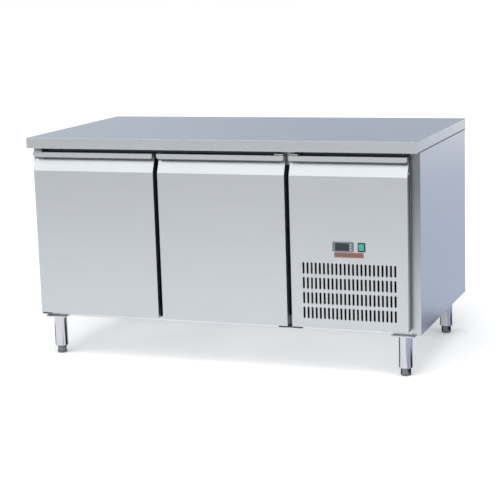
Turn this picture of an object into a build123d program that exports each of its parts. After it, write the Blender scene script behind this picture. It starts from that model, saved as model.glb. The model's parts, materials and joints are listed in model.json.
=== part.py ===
from build123d import *
import os
from math import cos, radians, sin

# Undercounter refrigerator: a worktop cabinet on four legs, with two hinged doors in front of a
# cooled chamber and a compressor bay behind a hinged, slotted service panel on the right.
# Millimetres. Origin on the floor under the middle of the worktop: +X to the right as seen by
# the user, +Y towards the back, +Z up.

# ---- Driving dimensions ------------------------------------------------------------------
width = 1510.0
depth = 800.0
height = 850.0
worktop_edge = 40.0  # height of the worktop's folded edge
body_bottom = 155.0  # underside of the cabinet walls above the floor
front_setback = 55.0  # worktop front edge to the cabinet's face frame
sheet = 1.0  # stainless sheet
fit_gap = 0.3  # between curved or sliding faces

door_width = 494.0
panel_width = 434.0
door_gap = 17.0
left_inset = 18.0
door_bottom = 172.0
door_top = 794.0
door_depth = 34.0
gasket_depth = 9.0
opening_margin = 45.0  # door edge to the edge of the opening behind it
opening_z = (215.0, 750.0)

wall = 48.0  # foam thickness of side and rear walls
chamber_z = (210.0, 752.0)

# ---- Places worked out from them ---------------------------------------------------------
left, right = -width / 2, width / 2
front, rear = -depth / 2, depth / 2
under_top = height - worktop_edge
side_x = right - 1.0  # outer face of the side panels
frame_y = front + front_setback
back_y = rear - 4.0  # outer face of the rear folds
door_back = frame_y - gasket_depth
door_front = door_back - door_depth

door_left_x = (left + left_inset, left + left_inset + door_width)
door_right_x = (door_left_x[1] + door_gap, door_left_x[1] + door_gap + door_width)
panel_x = (door_right_x[1] + door_gap, door_right_x[1] + door_gap + panel_width)

chamber_x = (-side_x + 2 * sheet + wall, door_right_x[1] - 40.0)
chamber_y = (frame_y + sheet, back_y - 2 * sheet - wall)
divider_x = panel_x[0]  # left face of the sheet between chamber and compressor bay
mullion_x = (door_left_x[1] - opening_margin, door_right_x[0] + opening_margin)
bay_opening_x = (divider_x + 14.0, panel_x[1] - 17.0)
bay_opening_z = (175.0, 775.0)

# Handle profile along the top of each door and of the service panel
slant_bottom = 724.0
throat_z = 769.0
throat_y = door_front + 20.0
lip_bottom = 776.0
lip_thick = 3.5
lip_plate = 2.0
lip_corner = 9.0
fold_radius = 2.0

# Hinges: a pin up into the bottom and a pin down into the top of each door
pin_inset = 12.0  # door edge to pin axis
pin_y = door_front + 12.0
pin_radius = 4.0
pin_gap = 0.05
pivot_block = 24.0
lower_pin = 20.0
upper_pin = 17.0
bracket_thick = 4.0
plate_thick = 3.0

# Legs
leg_x = right - 64.0
leg_y = rear - 75.0
leg_radius = 25.0
base_thick = 1.5
flange_thick = 4.0
flange_hole_pitch = 66.0
flange_top = body_bottom - base_thick

# Pan-head screws
head_radius = 5.0
head_height = 2.4
head_rounding = 1.4
shank_radius = 2.4
shank_length = 5.4
shank_gap = 0.3

UP = (Align.CENTER, Align.CENTER, Align.MIN)
DOWN = (Align.CENTER, Align.CENTER, Align.MAX)


def slab(x, y, z, mode=Mode.ADD):
    """A box between the low and high values given for each axis, in the part being built."""
    with Locations((x[0], y[0], z[0])):
        Box(x[1] - x[0], y[1] - y[0], z[1] - z[0], align=(Align.MIN, Align.MIN, Align.MIN), mode=mode)


def grown(span, by):
    """The span made longer by the same amount at both ends."""
    return (span[0] - by, span[1] + by)


def middle(span):
    """Middle of a span."""
    return (span[0] + span[1]) / 2


def about(centre, half):
    """The span of twice the half width about a centre."""
    return (centre - half, centre + half)


def save(part, name):
    """Labels a finished piece and writes it to its own STEP file."""
    part.label = name
    export_step(part, f"parts/{name}.step")


os.makedirs("parts", exist_ok=True)

# ---- Screw places, and the holes the screws need -------------------------------------------
foot_corners = {
    "front_left": (-leg_x, -leg_y),
    "front_right": (leg_x, -leg_y),
    "rear_left": (-leg_x, leg_y),
    "rear_right": (leg_x, leg_y),
}
half_pitch = flange_hole_pitch / 2
rear_rows = (body_bottom + 25.0, (body_bottom + under_top) / 2, under_top - 25.0)
rear_columns = (-side_x + 14.0, divider_x - 14.0, side_x - 14.0)
bracket_columns = (door_left_x[0] + 13.0, door_right_x[1] - 10.0, panel_x[0] + 7.0)
bracket_rows = (180.0, 197.0, 765.0, 782.0)

rear_screws = [(x, back_y + sheet, z) for x in rear_columns for z in rear_rows]
bracket_screws = [(x, frame_y - plate_thick, z) for x in bracket_columns for z in bracket_rows]
leg_screws = []
for corner_x, corner_y in foot_corners.values():
    for screw_x in (corner_x - half_pitch, corner_x + half_pitch):
        for screw_y in (corner_y - half_pitch, corner_y + half_pitch):
            leg_screws.append((screw_x, screw_y, flange_top - flange_thick))
BACKWARD, FORWARD, DOWNWARD = (0, 1, 0), (0, -1, 0), (0, 0, -1)


def drill(places, head_side):
    """Clearance holes for screws whose heads stand on the given side, in the part being built."""
    for place in places:
        with Locations(Plane(origin=place, z_dir=head_side)):
            Cylinder(shank_radius + shank_gap, shank_length + shank_gap, align=DOWN, mode=Mode.SUBTRACT)


with BuildPart() as screw:
    Cylinder(head_radius, head_height, align=UP)
    fillet(screw.edges().group_by(Axis.Z)[-1], head_rounding)
    Cylinder(shank_radius, shank_length, align=DOWN)

with BuildPart() as cabinet_screws:
    for screw_places, head_direction in (
        (rear_screws, BACKWARD),
        (leg_screws, DOWNWARD),
        (bracket_screws, FORWARD),
    ):
        for screw_place in screw_places:
            with Locations(Plane(origin=screw_place, z_dir=head_direction)):
                add(screw.part)
save(cabinet_screws.part, "cabinet_screws")

catch_screw_place = (panel_x[1], door_back - 12.0, slant_bottom + 12.0)

with BuildPart() as service_panel_screw:
    with Locations(Plane(origin=catch_screw_place, z_dir=(1, 0, 0))):
        add(screw.part)
save(service_panel_screw.part, "service_panel_screw")

# ---- Worktop: folded tray over a stiffening board -----------------------------------------
top_sheet = 1.5
top_return = 15.0
top_corner = 1.4
board_x = grown((left, right), -top_sheet)
board_y = grown((front, rear), -top_sheet)

with BuildPart() as worktop:
    slab((left, right), (front, rear), (under_top, height))
    fillet(worktop.edges().filter_by(Axis.Z), top_corner)
    fillet(worktop.edges().group_by(Axis.Z)[-1], top_corner)
    slab(board_x, board_y, (under_top + top_sheet, height - top_sheet), mode=Mode.SUBTRACT)
    slab(grown(board_x, -top_return), grown(board_y, -top_return), (under_top, height - top_sheet),
         mode=Mode.SUBTRACT)
save(worktop.part, "worktop")

with BuildPart() as worktop_core:
    slab(board_x, board_y, (under_top + top_sheet, height - top_sheet))
save(worktop_core.part, "worktop_core")

# ---- Outer walls ---------------------------------------------------------------------------
fold = 20.0  # width of the folds that stiffen the side panels
left_stile = 25.0
right_stile = side_x - panel_x[1]


def side_panel(side, stile):
    """Side wall with folds at its front, top, bottom and rear. side is -1 for left, 1 for right."""

    def across(reach):
        """From the outer face inwards by the given amount."""
        return tuple(sorted((side * side_x, side * (side_x - reach))))

    with BuildPart() as panel:
        slab(across(sheet), (frame_y, back_y), (body_bottom, under_top))
        slab(across(stile), (frame_y, frame_y + sheet), (body_bottom, under_top))
        slab(across(fold), (back_y - sheet, back_y), (body_bottom, under_top))
        slab(across(fold), (frame_y, back_y), (under_top - sheet, under_top))
        slab(across(fold), (frame_y, back_y), (body_bottom, body_bottom + sheet))
        front_corner = panel.edges().filter_by(Axis.Z).group_by(Axis.Y)[0]
        fillet(front_corner.sort_by(Axis.X)[0 if side < 0 else -1], 0.9)
        drill(rear_screws, BACKWARD)
    return panel.part


save(side_panel(-1, left_stile), "side_panel_left")
save(side_panel(1, right_stile), "side_panel_right")

mullion_back = frame_y + sheet + 48.0
frame_openings = [
    (grown(door_left_x, -opening_margin), opening_z),
    (grown(door_right_x, -opening_margin), opening_z),
    (bay_opening_x, bay_opening_z),
]

with BuildPart() as front_frame:
    slab((-side_x + left_stile, panel_x[1]), (frame_y, frame_y + sheet), (body_bottom, under_top))
    slab(mullion_x, (frame_y, mullion_back), chamber_z)
    slab(grown(mullion_x, -sheet), (frame_y + sheet, mullion_back - sheet), grown(chamber_z, -sheet),
         mode=Mode.SUBTRACT)
    for opening_across, opening_up in frame_openings:
        slab(opening_across, (frame_y, frame_y + sheet), opening_up, mode=Mode.SUBTRACT)
    drill(bracket_screws, FORWARD)
save(front_frame.part, "front_frame")

rear_skin_y = (back_y, back_y + sheet)
skin_inset = 2.0  # edge of the rear skins and the base inside the outer faces
rear_grille_x = (divider_x + sheet, side_x - skin_inset)

with BuildPart() as rear_panel:
    slab((-side_x + skin_inset, divider_x), rear_skin_y, (body_bottom, under_top))
    drill(rear_screws, BACKWARD)
save(rear_panel.part, "rear_panel")

louvre_length, louvre_height = 300.0, 8.0
louvre_pitch = 22.0
louvre_rows = 16
gland_x, gland_z = side_x - 60.0, body_bottom + 70.0
gland_radius = 9.8
gland_length = 16.0
gland_flange_radius, gland_flange = 14.0, 3.0
gland_nut_radius, gland_nut = 13.0, 5.0
gland_bore_radius = 5.0

with BuildPart() as rear_grille:
    slab(rear_grille_x, rear_skin_y, (body_bottom, under_top))
    with BuildSketch(Plane.XZ.offset(-rear_skin_y[0])):
        with Locations((middle(rear_grille_x), middle((body_bottom, under_top)))):
            with GridLocations(0, louvre_pitch, 1, louvre_rows):
                SlotOverall(louvre_length, louvre_height)
        with Locations((gland_x, gland_z)):
            Circle(gland_radius + fit_gap)
    extrude(amount=-sheet, mode=Mode.SUBTRACT)
    drill(rear_screws, BACKWARD)
save(rear_grille.part, "rear_grille")

with BuildPart() as mains_gland:
    with Locations(Plane(origin=(gland_x, rear_skin_y[1], gland_z), z_dir=BACKWARD)):
        Cylinder(gland_flange_radius, gland_flange, align=UP)
        Cylinder(gland_radius, gland_length, align=DOWN)
        with Locations((0, 0, -sheet)):
            Cylinder(gland_nut_radius, gland_nut, align=DOWN)
        with Locations((0, 0, gland_flange)):
            Cylinder(gland_bore_radius, gland_flange + gland_length, align=DOWN, mode=Mode.SUBTRACT)
save(mains_gland.part, "mains_gland")

with BuildPart() as base_panel:
    slab(grown((-side_x, side_x), -skin_inset), grown((frame_y, back_y), -skin_inset),
         (flange_top, body_bottom))
    drill(leg_screws, DOWNWARD)
save(base_panel.part, "base_panel")

# ---- Insulation and chamber liner -----------------------------------------------------------
liner_radius = 15.0


def chamber_block(extra):
    """Solid of the chamber's space, rounded along the floor and rear, grown by extra thickness."""
    with BuildPart() as block:
        slab(grown(chamber_x, extra), (chamber_y[0], chamber_y[1] + extra), grown(chamber_z, extra))
        rear_edges = block.edges().group_by(Axis.Y)[-1]
        floor_edges = block.edges().filter_by(Axis.Y).group_by(Axis.Z)[0]
        fillet(rear_edges + floor_edges, liner_radius + extra)
    return block.part


chamber_outside = chamber_block(sheet)
chamber_inside = chamber_block(0.0)
foam_y = (frame_y + sheet, back_y - sheet)
foam_z = (body_bottom + sheet, under_top - sheet)

with BuildPart() as foam_body:
    slab((-side_x + sheet, divider_x), foam_y, foam_z)
    add(chamber_outside, mode=Mode.SUBTRACT)
    drill(rear_screws, BACKWARD)
    drill(bracket_screws, FORWARD)
save(foam_body.part, "foam_body")

with BuildPart() as inner_liner:
    add(chamber_outside)
    add(chamber_inside, mode=Mode.SUBTRACT)
save(inner_liner.part, "inner_liner")

with BuildPart() as bay_divider:
    slab((divider_x, divider_x + sheet), foam_y, foam_z)
    slab((divider_x, divider_x + fold), foam_y, (foam_z[0], foam_z[0] + sheet))
save(bay_divider.part, "bay_divider")

# ---- Legs and adjustable feet ----------------------------------------------------------------
leg_wall = 1.5
leg_bottom = 30.0
leg_plug = 14.0
flange_side = 86.0
spindle_radius = 6.0
spindle_top = 86.0
foot_radius = 19.0
collar_z = (6.0, 25.0)
collar_top = 28.5
sole_rounding = 5.0


def leg(x, y):
    """Steel tube welded to a screw plate, closed below by a threaded plug."""
    with BuildPart() as tube:
        with BuildSketch(Plane.XY.offset(leg_bottom)):
            with Locations((x, y)):
                Circle(leg_radius)
        extrude(amount=flange_top - leg_bottom)
        fillet(tube.edges().group_by(Axis.Z)[0], 1.2)
        with BuildSketch(Plane.XY.offset(leg_bottom + leg_plug)):
            with Locations((x, y)):
                Circle(leg_radius - leg_wall)
        extrude(amount=flange_top - leg_bottom - leg_plug, mode=Mode.SUBTRACT)
        with BuildSketch(Plane.XY.offset(leg_bottom)):
            with Locations((x, y)):
                Circle(spindle_radius + pin_gap)
        extrude(amount=leg_plug, mode=Mode.SUBTRACT)
        with BuildSketch(Plane.XY.offset(flange_top - flange_thick)):
            with Locations((x, y)):
                RectangleRounded(flange_side, flange_side, 8.0)
        extrude(amount=flange_thick)
        drill(leg_screws, DOWNWARD)
    return tube.part


def foot(x, y):
    """Levelling foot: six-sided collar with a rounded sole on a threaded spindle."""
    edge, stem = x + foot_radius, x + spindle_radius
    with BuildPart() as sole:
        with BuildSketch(Plane.XZ.offset(-y)):
            with BuildLine():
                Line((x, 0), (edge - sole_rounding, 0))
                RadiusArc((edge - sole_rounding, 0), (edge, sole_rounding), -sole_rounding)
                Polyline((edge, sole_rounding), (edge, collar_top - 1.5), (edge - 1.5, collar_top),
                         (stem, collar_top), (stem, spindle_top - 1.5), (stem - 1.5, spindle_top),
                         (x, spindle_top), (x, 0))
            make_face()
        revolve(axis=Axis((x, y, 0), (0, 0, 1)))
        with BuildSketch(Plane.XY.offset(collar_z[0])):
            with Locations((x, y)):
                Circle(foot_radius + 1.0)
                RegularPolygon(foot_radius, 6, mode=Mode.SUBTRACT)
        extrude(amount=collar_z[1] - collar_z[0], mode=Mode.SUBTRACT)
    return sole.part


for corner_name, corner_place in foot_corners.items():
    save(leg(*corner_place), f"leg_{corner_name}")
    save(foot(*corner_place), f"foot_{corner_name}")

# ---- Door and service panel skins -------------------------------------------------------------
skin_outline = [
    (door_back, door_bottom),
    (door_front, door_bottom),
    (door_front, slant_bottom),
    (throat_y, throat_z),
    (throat_y, door_top - lip_plate),
    (door_front + lip_thick, door_top - lip_plate),
    (door_front + lip_thick, lip_bottom),
    (door_front, lip_bottom),
    (door_front, door_top),
    (door_back, door_top),
]
hollow_outline = [
    (door_back, door_bottom + sheet),
    (door_front + sheet, door_bottom + sheet),
    (door_front + sheet, slant_bottom - 0.2),
    (throat_y + sheet, throat_z - 0.2),
    (throat_y + sheet, door_top - sheet),
    (door_back, door_top - sheet),
]


def pin_x(span, side):
    """Where the hinge axis lies across a door. side is -1 for its left edge, 1 for its right."""
    return span[0] + pin_inset if side < 0 else span[1] - pin_inset


def pivot_block_x(span, side):
    """Width taken up by the blocks that hold the hinge pins."""
    if side < 0:
        return (span[0] + sheet, span[0] + pivot_block)
    return (span[1] - pivot_block, span[1] - sheet)


lower_block_y = (door_front + sheet, pin_y + 11.0)
lower_block_z = (door_bottom + sheet, door_bottom + 24.0)
upper_block_y = (door_front + lip_thick, throat_y)
upper_block_z = (lip_bottom + 2.0, door_top - lip_plate)


def hollow(span, back):
    """Space inside a skin, from the front sheet to the given depth."""
    with BuildPart() as space:
        with BuildSketch(Plane.YZ.offset(span[0])):
            with BuildLine():
                Polyline(*hollow_outline, close=True)
            make_face()
        extrude(amount=span[1] - span[0])
        if back < door_back:
            slab(grown(span, 1.0), (back, door_back + 1.0), (door_bottom, door_top), mode=Mode.SUBTRACT)
    return space.part


def folded_skin(span, side):
    """Front skin with its finger lip along the top, and pin blocks at the hinge side."""
    block_x = pivot_block_x(span, side)
    inside = hollow(grown(span, -sheet), door_back)
    with BuildPart() as shell:
        with BuildSketch(Plane.YZ.offset(span[0])):
            with BuildLine():
                Polyline(*skin_outline, close=True)
            make_face()
        extrude(amount=span[1] - span[0])
        lip_ends = shell.edges().filter_by(Axis.Y).filter_by_position(
            Axis.Z, lip_bottom - 0.5, lip_bottom + 0.5)
        fillet(lip_ends, lip_corner)
        front_edges = shell.edges().filter_by_position(Axis.Y, door_front - 1.0, door_front + 15.0)
        uprights = front_edges.filter_by_position(Axis.Z, door_bottom + 1.0, slant_bottom - 1.0)
        slants = front_edges.filter_by_position(Axis.Z, slant_bottom + 1.0, throat_z - 1.0)
        fillet(uprights + slants, fold_radius)
        add(inside, mode=Mode.SUBTRACT)
        slab(block_x, lower_block_y, lower_block_z)
        slab(block_x, upper_block_y, upper_block_z)
        with Locations((pin_x(span, side), pin_y, door_bottom)):
            Cylinder(pin_radius + pin_gap, lower_pin + 1.0, align=UP, mode=Mode.SUBTRACT)
        with Locations((pin_x(span, side), pin_y, door_top)):
            Cylinder(pin_radius + pin_gap, upper_pin, align=DOWN, mode=Mode.SUBTRACT)
    return shell.part


# ---- The two doors ------------------------------------------------------------------------------
liner_plate = 1.5
plug_inset = opening_margin + 8.0
plug_depth = 12.0
gasket_inset = 20.0
gasket_width = 22.0
gasket_overlap = 3.0  # gasket's inner edge outside the opening's edge
gasket_groove = 3.0


def door_foam(span, side):
    """Foam filling between the skin and the inner plate."""
    with BuildPart() as filling:
        add(hollow(grown(span, -sheet), door_back - liner_plate))
        slab(pivot_block_x(span, side), lower_block_y, lower_block_z, mode=Mode.SUBTRACT)
    return filling.part


def door_liner(span):
    """Inner plate with its raised, tapered plug."""
    plug_plane = Plane(
        origin=(middle(span), door_back, middle(opening_z)), x_dir=(1, 0, 0), z_dir=BACKWARD)
    with BuildPart() as plate:
        slab(grown(span, -sheet), (door_back - liner_plate, door_back),
             (door_bottom + sheet, door_top - sheet))
        with BuildSketch(plug_plane):
            Rectangle(span[1] - span[0] - 2 * plug_inset, opening_z[1] - opening_z[0] - 16.0)
        extrude(amount=plug_depth, taper=12.0)
    return plate.part


def door_gasket(span):
    """Magnetic gasket: a rectangular ring with a bellows groove round it."""
    ring_x = grown(span, -gasket_inset)
    ring_z = grown(opening_z, gasket_overlap + gasket_width)
    hole_x, hole_z = grown(ring_x, -gasket_width), grown(ring_z, -gasket_width)
    ring_y = (door_back, frame_y - pin_gap)
    groove_y = grown(ring_y, -gasket_groove)
    with BuildPart() as ring:
        slab(ring_x, ring_y, ring_z)
        slab(grown(ring_x, 1.0), groove_y, grown(ring_z, 1.0), mode=Mode.SUBTRACT)
        slab(grown(ring_x, -gasket_groove), groove_y, grown(ring_z, -gasket_groove))
        slab(hole_x, ring_y, hole_z, mode=Mode.SUBTRACT)
    return ring.part


for door_name, door_span, hinge_side in (("left", door_left_x, -1), ("right", door_right_x, 1)):
    save(folded_skin(door_span, hinge_side), f"door_{door_name}_skin")
    save(door_foam(door_span, hinge_side), f"door_{door_name}_foam")
    save(door_liner(door_span), f"door_{door_name}_liner")
    save(door_gasket(door_span), f"door_{door_name}_gasket")

# ---- Service panel with air slots and cut-outs for controller and switch --------------------------
slot_length, slot_width = 42.5, 7.4
slot_pitch_x, slot_pitch_z = 15.4, 54.5
slot_columns, slot_rows = 23, 4
slot_field = (panel_x[0] + 218.0, 309.0)
controller_at = (panel_x[0] + 198.0, 473.0)
switch_at = (panel_x[0] + 266.0, 473.0)
label_at = (panel_x[0] + 219.0, 443.5)
controller_cutout = (71.0, 29.0)
switch_cutout = (23.0, 30.0)
panel_skin = folded_skin(panel_x, -1)

with BuildPart() as service_panel:
    add(panel_skin)
    with BuildSketch(Plane.XZ.offset(-door_front)):
        with Locations(slot_field):
            with GridLocations(slot_pitch_x, slot_pitch_z, slot_columns, slot_rows):
                SlotOverall(slot_length, slot_width, rotation=90)
        with Locations(controller_at):
            Rectangle(*controller_cutout)
        with Locations(switch_at):
            Rectangle(*switch_cutout)
    extrude(amount=-2 * sheet, mode=Mode.SUBTRACT)
    drill([catch_screw_place], (1, 0, 0))
save(service_panel.part, "service_panel")

# ---- Hinge brackets ---------------------------------------------------------------------------
arm_reach = 38.0
arm_corner = 8.0
arm_front = pin_y - 11.0
lower_arm_z = door_bottom - 1.5 - bracket_thick
upper_arm_z = door_top + 2.0
lower_plate_z = (body_bottom + 2.0, 205.0)
upper_plate_z = (757.0, under_top - 2.0)


def hinge_brackets(plate_x, hinges):
    """Lower and upper bracket on the face frame, with a pin for each door hung on them."""
    with BuildPart() as brackets:
        for plate_z in (lower_plate_z, upper_plate_z):
            slab(plate_x, (frame_y - plate_thick, frame_y), plate_z)
        for span, side in hinges:
            arm_x = (span[0], span[0] + arm_reach) if side < 0 else (span[1] - arm_reach, span[1])
            for arm_z in (lower_arm_z, upper_arm_z):
                with BuildSketch(Plane.XY.offset(arm_z)):
                    with Locations((middle(arm_x), (arm_front + frame_y) / 2)):
                        RectangleRounded(arm_reach, frame_y - arm_front, arm_corner)
                    with Locations((middle(arm_x), frame_y)):
                        Rectangle(arm_reach, 2 * arm_corner, align=(Align.CENTER, Align.MAX))
                extrude(amount=bracket_thick)
            with Locations((pin_x(span, side), pin_y, lower_arm_z)):
                Cylinder(pin_radius, bracket_thick + lower_pin, align=UP)
            with Locations((pin_x(span, side), pin_y, upper_arm_z + bracket_thick)):
                Cylinder(pin_radius, bracket_thick + upper_pin, align=DOWN)
        drill(bracket_screws, FORWARD)
    return brackets.part


left_hinges = hinge_brackets((door_left_x[0] + 1.0, door_left_x[0] + 18.0), [(door_left_x, -1)])
middle_hinges = hinge_brackets((door_right_x[1] - 18.0, panel_x[0] + 13.0),
                               [(door_right_x, 1), (panel_x, -1)])
save(left_hinges, "hinge_brackets_left")
save(middle_hinges, "hinge_brackets_middle")

# ---- Controller, switch and label plate on the service panel ----------------------------------
bezel_size = (78.0, 35.0)
bezel_proud = 4.0
controller_depth = 56.0
lens_size = (51.0, 27.0)
lens_thick = 1.2
lens_at = (controller_at[0] - 2.5, controller_at[1])
key_size = (8.0, 7.0)
key_pitch = 9.6
key_x = controller_at[0] + 29.5
key_proud = 0.8
key_depth = 4.5
key_pocket = 6.5
key_names = ("down", "set", "up")
bezel_front = door_front - bezel_proud

with BuildPart() as controller_housing:
    with BuildSketch(Plane.XZ.offset(-door_front)):
        with Locations(controller_at):
            RectangleRounded(*bezel_size, 4.0)
    extrude(amount=bezel_proud)
    fillet(controller_housing.edges().group_by(Axis.Y)[0], 1.5)
    with BuildSketch(Plane.XZ.offset(-door_front)):
        with Locations(controller_at):
            Rectangle(controller_cutout[0] - 2 * fit_gap, controller_cutout[1] - 2 * fit_gap)
    extrude(amount=-controller_depth)
    with BuildSketch(Plane.XZ.offset(-bezel_front)):
        with Locations(lens_at):
            RectangleRounded(*lens_size, 1.5)
    extrude(amount=-lens_thick, mode=Mode.SUBTRACT)
    with BuildSketch(Plane.XZ.offset(-bezel_front)):
        with Locations((key_x, controller_at[1])):
            with GridLocations(0, key_pitch, 1, len(key_names)):
                RectangleRounded(key_size[0] + 2 * fit_gap, key_size[1] + 2 * fit_gap, 1.8)
    extrude(amount=-key_pocket, mode=Mode.SUBTRACT)
save(controller_housing.part, "controller_housing")

with BuildPart() as controller_lens:
    with BuildSketch(Plane.XZ.offset(-bezel_front)):
        with Locations(lens_at):
            RectangleRounded(*lens_size, 1.5)
    extrude(amount=-lens_thick)
save(controller_lens.part, "controller_lens")

for key_index, key_name in enumerate(key_names):
    with BuildPart() as key:
        with BuildSketch(Plane.XZ.offset(-bezel_front + key_proud)):
            with Locations((key_x, controller_at[1] + (key_index - 1) * key_pitch)):
                RectangleRounded(*key_size, 1.5)
        extrude(amount=-key_depth)
        fillet(key.edges().group_by(Axis.Y)[0], 0.6)
    save(key.part, f"controller_key_{key_name}")

surround_size = (28.0, 33.0)
surround_proud = 3.0
switch_depth = 26.0
rocker_radius = 13.0
rocker_width = 19.0
rocker_tilt = 8.0
rocker_axis_y = door_front + 3.0
rocker_face = (9.2, 6.2)  # axis to the face's ends and to its middle

with BuildPart() as switch_frame:
    with BuildSketch(Plane.XZ.offset(-door_front)):
        with Locations(switch_at):
            RectangleRounded(*surround_size, 2.0)
    extrude(amount=surround_proud)
    fillet(switch_frame.edges().group_by(Axis.Y)[0], 1.0)
    with BuildSketch(Plane.XZ.offset(-door_front)):
        with Locations(switch_at):
            Rectangle(switch_cutout[0] - 2 * fit_gap, switch_cutout[1] - 2 * fit_gap)
    extrude(amount=-switch_depth)
    slab(about(switch_at[0], rocker_width / 2 + fit_gap),
         (door_front - surround_proud, rocker_axis_y + rocker_radius + 1.0),
         about(switch_at[1], rocker_radius + fit_gap), mode=Mode.SUBTRACT)
save(switch_frame.part, "switch_frame")

rocker_plane = Plane(
    origin=(switch_at[0] - rocker_width / 2, rocker_axis_y, switch_at[1]),
    x_dir=(0, cos(radians(rocker_tilt)), sin(radians(rocker_tilt))),
    z_dir=(1, 0, 0),
)

with BuildPart() as switch_rocker:
    with BuildSketch(rocker_plane):
        Circle(rocker_radius)
        with BuildLine():
            Polyline((-20.0, -14.0), (-rocker_face[0], -14.0), (-rocker_face[1], 0),
                     (-rocker_face[0], 14.0), (-20.0, 14.0), close=True)
        make_face(mode=Mode.SUBTRACT)
        with Locations((9.0, 0)):
            Rectangle(8.0, 30.0, mode=Mode.SUBTRACT)
    extrude(amount=rocker_width)
save(switch_rocker.part, "switch_rocker")

label_size = (108.0, 19.0)
label_corner = 1.0
label_thick = 0.8

with BuildPart() as label_plate:
    with BuildSketch(Plane.XZ.offset(-door_front)):
        with Locations(label_at):
            RectangleRounded(*label_size, label_corner)
    extrude(amount=label_thick)
save(label_plate.part, "label_plate")

# ---- Shelves on runners ------------------------------------------------------------------------
post_thick, post_wide = 6.0, 20.0
post_places = (-330.0, 310.0)
runner_z = 470.0
runner_leg = 25.0
runner_ledge = 18.0
runner_thick = 1.2
runner_y = (-330.0, 330.0)
wire_radius = 2.0
rim_radius = 3.0
wire_count = 15
shelf_gap = 3.0
shelf_y = (-300.0, 300.0)
shelf_bar_step = 200.0
section_left = (chamber_x[0], mullion_x[0])
section_right = (mullion_x[1], chamber_x[1])

with BuildPart() as shelf_posts:
    for low, high in (section_left, section_right):
        for post_x in ((low, low + post_thick), (high - post_thick, high)):
            for post_y in post_places:
                slab(post_x, (post_y, post_y + post_wide), (chamber_z[0] + 16.0, chamber_z[1]))
save(shelf_posts.part, "shelf_posts")

with BuildPart() as shelf_runners:
    for low, high in (section_left, section_right):
        low_face, high_face = low + post_thick, high - post_thick
        slab((low_face, low_face + runner_thick), runner_y, (runner_z, runner_z + runner_leg))
        slab((low_face, low_face + runner_ledge), runner_y, (runner_z, runner_z + runner_thick))
        slab((high_face - runner_thick, high_face), runner_y, (runner_z, runner_z + runner_leg))
        slab((high_face - runner_ledge, high_face), runner_y, (runner_z, runner_z + runner_thick))
save(shelf_runners.part, "shelf_runners")


def wire_shelf(section):
    """Coated wire shelf: a rim, cross wires and lengthwise wires."""
    edge = post_thick + runner_thick + shelf_gap + rim_radius
    low, high = grown(section, -edge)
    near, far = shelf_y
    level = runner_z + runner_thick + rim_radius
    pitch = (high - low) / (wire_count + 1)
    with BuildPart() as wires:
        for x in (low, high):
            with Locations(Plane(origin=(x, near - rim_radius, level), z_dir=BACKWARD)):
                Cylinder(rim_radius, far - near + 2 * rim_radius, align=UP)
        for y in (near, near + shelf_bar_step, far - shelf_bar_step, far):
            with Locations(Plane(origin=(low, y, level), z_dir=(1, 0, 0))):
                Cylinder(rim_radius, high - low, align=UP)
        for index in range(1, wire_count + 1):
            with Locations(Plane(origin=(low + index * pitch, near, level + 2.0), z_dir=BACKWARD)):
                Cylinder(wire_radius, far - near, align=UP)
    return wires.part


save(wire_shelf(section_left), "shelf_left")
save(wire_shelf(section_right), "shelf_right")

# ---- Fans -----------------------------------------------------------------------------------------
shaft_radius = 4.0
arm_thick, arm_wide = 3.0, 12.0
arm_foot = 4.0
arm_root = 6.0  # arm buried in the motor
shaft_tip = 3.0
blade_count = 5
blade_half_thickness = 0.7


def fan_blades(plane, radius, hub_radius, hub_depth, pitch):
    """Hub with five pitched blades, bored for the motor's shaft."""
    reach = radius - hub_radius
    tilted = Plane(origin=(hub_radius - 2.0, 0, 0), x_dir=(1, 0, 0), z_dir=(0, sin(pitch), cos(pitch)))
    with BuildPart() as blade:
        with BuildSketch(tilted) as outline:
            with BuildLine():
                Polyline((0, -0.1 * reach), (0.55 * reach, -0.38 * reach), (reach, -0.30 * reach),
                         (reach, 0.36 * reach), (0.45 * reach, 0.34 * reach), (0, 0.1 * reach),
                         close=True)
            make_face()
            fillet(outline.vertices().group_by(Axis.X)[-1], 0.15 * reach)
        extrude(amount=blade_half_thickness, both=True)
    with BuildPart(plane) as fan:
        Cylinder(hub_radius, hub_depth)
        with PolarLocations(0, blade_count):
            add(blade.part)
        Cylinder(shaft_radius + pin_gap, 2 * hub_depth, mode=Mode.SUBTRACT)
    return fan.part


def fan_motor(plane, radius, span, arm_at, arm_reach_to, seat):
    """Round motor on four arms, with the shaft the fan sits on. Lengths run along the axis."""
    foot_end = arm_at + arm_thick
    with BuildPart(plane) as motor:
        with Locations((0, 0, middle(span))):
            Cylinder(radius, span[1] - span[0])
        with Locations((0, 0, -shaft_tip)):
            Cylinder(shaft_radius, span[0] + shaft_tip, align=UP)
        with Locations((0, 0, arm_at + arm_thick / 2)):
            with PolarLocations((radius + arm_reach_to) / 2 - arm_root / 2, 4, start_angle=45.0):
                Box(arm_reach_to - radius + arm_root, arm_wide, arm_thick)
        with Locations((0, 0, (seat + foot_end) / 2)):
            with PolarLocations(arm_reach_to - arm_foot / 2, 4, start_angle=45.0):
                Box(arm_foot, arm_wide, foot_end - seat)
    return motor.part


# ---- Evaporator behind the mullion, between the two sections ----------------------------------------
cover_x = grown(mullion_x, -3.0)
cover_y = (mullion_back, 180.0)
cover_z = (290.0, chamber_z[1])
air_slot = (380.0, 9.0)
air_slot_pitch, air_slot_rows = 26.0, 14
coil_from_cover, coil_deep = 14.0, 46.0
evaporator_fan_plane = Plane(origin=(cover_x[0] + 7.0, 60.0, 540.0), z_dir=(1, 0, 0))
evaporator_fan_radius = 80.0

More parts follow.
